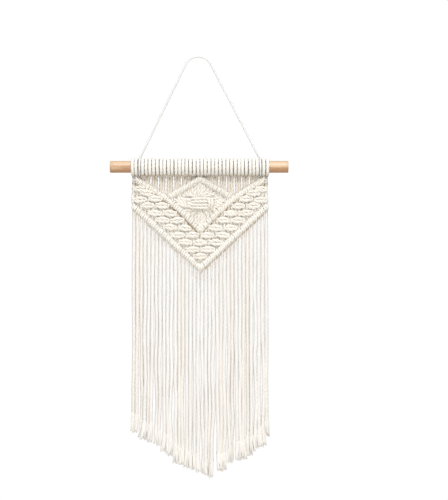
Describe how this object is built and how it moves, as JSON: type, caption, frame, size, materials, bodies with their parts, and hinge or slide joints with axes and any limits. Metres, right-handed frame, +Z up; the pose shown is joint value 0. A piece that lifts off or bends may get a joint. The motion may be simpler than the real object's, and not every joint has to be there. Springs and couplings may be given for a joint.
{
  "type": "macrame wall hanging on wooden dowel",
  "caption": "Knotted cotton wall hanging: strands wrapped over a round dowel, a net of knots between V-shaped bars, a long fringe trimmed to a point, and a thin hanging cord.",
  "frame": {"origin": "underside of the hanging cord's crown, where a hook or nail holds the hanging", "axes": "+Z up, the dowel along X, the front facing -Y"},
  "size_m": [0.24, 0.0252, 0.5689],
  "materials": {
    "cotton_cord": "matte natural cotton, twisted in three plies",
    "thin_cotton_cord": "matte natural cotton, thin twisted cord",
    "dowel_wood": "bare sanded light wood with fine grain"
  },
  "bodies": {
    "root": {"dowel": "dowel_wood", "knotted_panel": "cotton_cord", "fringe": "cotton_cord", "hanger_cord": "thin_cotton_cord", "hanger_tie_left": "thin_cotton_cord", "hanger_tie_right": "thin_cotton_cord"}
  },
  "joints": []
}
